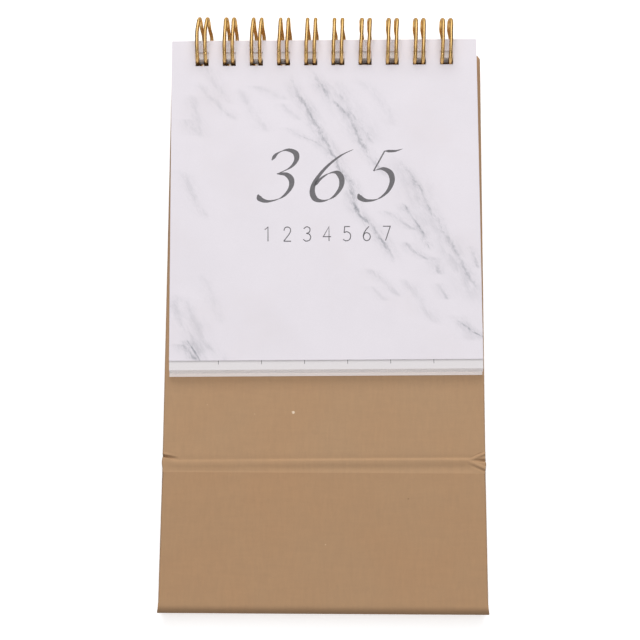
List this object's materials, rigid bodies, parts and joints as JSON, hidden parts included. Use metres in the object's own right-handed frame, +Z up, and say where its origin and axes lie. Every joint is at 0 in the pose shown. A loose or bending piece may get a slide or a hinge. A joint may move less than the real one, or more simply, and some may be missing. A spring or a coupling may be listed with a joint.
{
  "type": "desk calendar",
  "caption": "Mini desk calendar: marble-print cover and month sheets on a gold double-loop wire, with a kraft-covered board easel that folds out into a tent stand.",
  "frame": {"origin": "centre of the bounding box on the floor that the folded calendar lies on", "axes": "+X to the right across the cover, +Y up the sheets to the wire, +Z up out of the cover"},
  "size_m": [0.0972, 0.1844, 0.0171],
  "materials": {
    "gold_wire": "satin",
    "kraft_paper": "matte",
    "lining_paper": "matte",
    "greyboard": "matte",
    "backing_card": "matte",
    "month_paper": "matte",
    "marble_cover": "satin"
  },
  "bodies": {
    "back_panel": {"back_board": "greyboard", "back_wrap": "kraft_paper", "back_liner": "lining_paper", "rear_crease_upper": "kraft_paper", "wire_loop_01": "gold_wire", "wire_loop_02": "gold_wire", "wire_loop_03": "gold_wire", "wire_loop_04": "gold_wire", "wire_loop_05": "gold_wire", "wire_loop_06": "gold_wire", "wire_loop_07": "gold_wire", "wire_loop_08": "gold_wire", "wire_loop_09": "gold_wire", "wire_loop_10": "gold_wire"},
    "front_panel": {"front_board": "greyboard", "front_wrap": "kraft_paper", "front_liner": "lining_paper", "front_crease": "kraft_paper"},
    "foot_front": {"foot_front_board": "greyboard", "foot_front_wrap": "kraft_paper", "foot_front_liner": "lining_paper", "tail_fold": "kraft_paper"},
    "foot_rear": {"foot_rear_board": "greyboard", "foot_rear_wrap": "kraft_paper", "foot_rear_liner": "lining_paper", "rear_crease_lower": "kraft_paper"},
    "card": {"backing_card": "backing_card"},
    "month_12": {"month_sheet_12": "month_paper"},
    "month_11": {"month_sheet_11": "month_paper"},
    "month_10": {"month_sheet_10": "month_paper"},
    "month_09": {"month_sheet_09": "month_paper"},
    "month_08": {"month_sheet_08": "month_paper"},
    "month_07": {"month_sheet_07": "month_paper"},
    "month_06": {"month_sheet_06": "month_paper"},
    "month_05": {"month_sheet_05": "month_paper"},
    "month_04": {"month_sheet_04": "month_paper"},
    "month_03": {"month_sheet_03": "month_paper"},
    "month_02": {"month_sheet_02": "month_paper"},
    "month_01": {"month_sheet_01": "month_paper"},
    "cover": {"cover_sheet": "marble_cover"}
  },
  "joints": [
    {"name": "stand_fold", "type": "hinge", "parent": "back_panel", "child": "front_panel", "pos_m": [0, 0.08368, 0.00855], "axis": [-1, 0, 0], "range_deg": [0, 35.71]},
    {"name": "front_crease_fold", "type": "hinge", "parent": "front_panel", "child": "foot_front", "pos_m": [0, -0.04737, 0.0047], "axis": [1, 0, 0], "range_deg": [0, 113.02], "deforming": ["front_crease"]},
    {"name": "tail_unfold", "type": "hinge", "parent": "foot_front", "child": "foot_rear", "pos_m": [0, -0.08988, 0.00422], "axis": [-1, 0, 0], "range_deg": [0, 180.01], "deforming": ["tail_fold"]},
    {"name": "card_turn", "type": "hinge", "parent": "front_panel", "child": "card", "pos_m": [0, 0.08368, 0.00855], "axis": [-1, 0, 0], "range_deg": [0, 180]},
    {"name": "month_12_turn", "type": "hinge", "parent": "card", "child": "month_12", "pos_m": [0, 0.08368, 0.00855], "axis": [-1, 0, 0], "range_deg": [0, 180]},
    {"name": "month_11_turn", "type": "hinge", "parent": "month_12", "child": "month_11", "pos_m": [0, 0.08368, 0.00855], "axis": [-1, 0, 0], "range_deg": [0, 180]},
    {"name": "month_10_turn", "type": "hinge", "parent": "month_11", "child": "month_10", "pos_m": [0, 0.08368, 0.00855], "axis": [-1, 0, 0], "range_deg": [0, 180]},
    {"name": "month_09_turn", "type": "hinge", "parent": "month_10", "child": "month_09", "pos_m": [0, 0.08368, 0.00855], "axis": [-1, 0, 0], "range_deg": [0, 180]},
    {"name": "month_08_turn", "type": "hinge", "parent": "month_09", "child": "month_08", "pos_m": [0, 0.08368, 0.00855], "axis": [-1, 0, 0], "range_deg": [0, 180]},
    {"name": "month_07_turn", "type": "hinge", "parent": "month_08", "child": "month_07", "pos_m": [0, 0.08368, 0.00855], "axis": [-1, 0, 0], "range_deg": [0, 180]},
    {"name": "month_06_turn", "type": "hinge", "parent": "month_07", "child": "month_06", "pos_m": [0, 0.08368, 0.00855], "axis": [-1, 0, 0], "range_deg": [0, 180]},
    {"name": "month_05_turn", "type": "hinge", "parent": "month_06", "child": "month_05", "pos_m": [0, 0.08368, 0.00855], "axis": [-1, 0, 0], "range_deg": [0, 180]},
    {"name": "month_04_turn", "type": "hinge", "parent": "month_05", "child": "month_04", "pos_m": [0, 0.08368, 0.00855], "axis": [-1, 0, 0], "range_deg": [0, 180]},
    {"name": "month_03_turn", "type": "hinge", "parent": "month_04", "child": "month_03", "pos_m": [0, 0.08368, 0.00855], "axis": [-1, 0, 0], "range_deg": [0, 180]},
    {"name": "month_02_turn", "type": "hinge", "parent": "month_03", "child": "month_02", "pos_m": [0, 0.08368, 0.00855], "axis": [-1, 0, 0], "range_deg": [0, 180]},
    {"name": "month_01_turn", "type": "hinge", "parent": "month_02", "child": "month_01", "pos_m": [0, 0.08368, 0.00855], "axis": [-1, 0, 0], "range_deg": [0, 180]},
    {"name": "cover_turn", "type": "hinge", "parent": "month_01", "child": "cover", "pos_m": [0, 0.08368, 0.00855], "axis": [-1, 0, 0], "range_deg": [0, 180]}
  ],
  "couplings": [
    {"joint": "front_crease_fold", "follows": "stand_fold", "ratio": 3.1645},
    {"joint": "tail_unfold", "follows": "stand_fold", "ratio": 5.0405}
  ]
}
